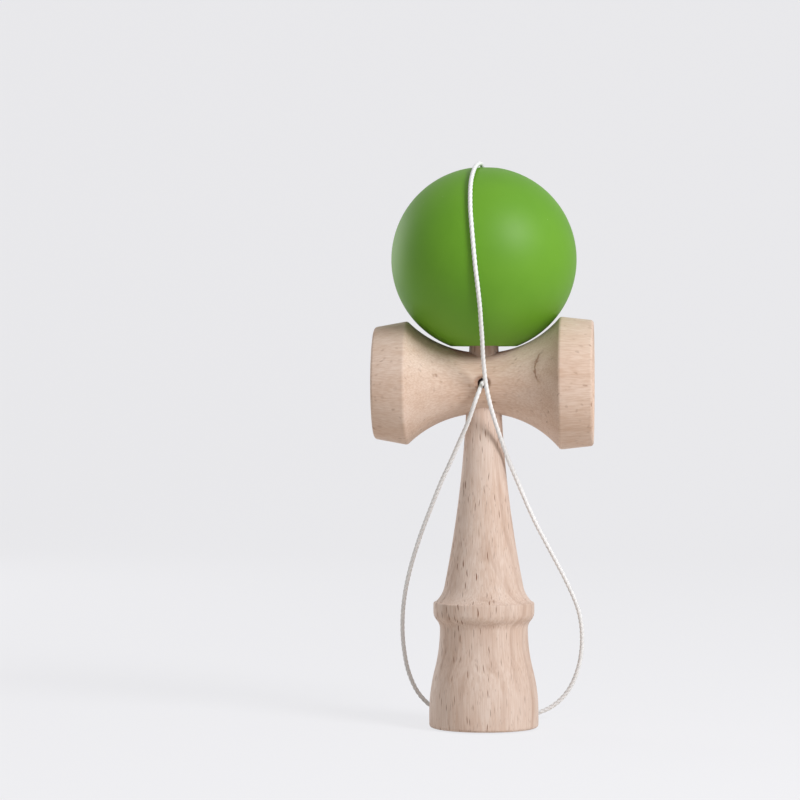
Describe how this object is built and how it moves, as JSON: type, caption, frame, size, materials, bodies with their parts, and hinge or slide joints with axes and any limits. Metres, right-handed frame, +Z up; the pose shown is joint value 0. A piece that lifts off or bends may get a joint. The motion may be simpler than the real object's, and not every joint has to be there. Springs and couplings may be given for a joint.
{
  "type": "kendama",
  "caption": "Wooden skill toy: turned handle with a spike and a base cup, a cross-piece with a large and a small cup, and a painted ball on a string that lifts off the spike.",
  "frame": {"origin": "centre of the base's rim, on the floor that the kendama stands on", "axes": "+Z up along the handle, +X along the cross-piece to its large cup, -Y to the front, where the string hole is"},
  "size_m": [0.071, 0.0616, 0.183],
  "materials": {
    "beech": "fine-sanded pale beech, thinly sealed",
    "beech_cross": "fine-sanded pale beech, thinly sealed",
    "green_paint": "satin leaf-green paint on wood",
    "bead_wood": "plain turned wood",
    "string": "white twisted cotton and nylon string"
  },
  "bodies": {
    "ken": {"ken": "beech", "sarado": "beech_cross", "ken_knot": "string", "string_in_ken": "string", "string_loop": "string", "string_rise": "string"},
    "bead": {"bead": "bead_wood", "bead_knot": "string", "string_in_ball": "string"},
    "tama": {"tama": "green_paint"}
  },
  "joints": [
    {"name": "tama_lift", "type": "slide", "parent": "ken", "child": "bead", "axis": [0, 0, 1], "range_m": [0, 0.045], "deforming": ["string_loop", "string_rise"]},
    {"name": "tama_spin", "type": "hinge", "parent": "bead", "child": "tama", "pos_m": [0, 0, 0.1515], "axis": [0, 0, 1], "continuous": true}
  ]
}
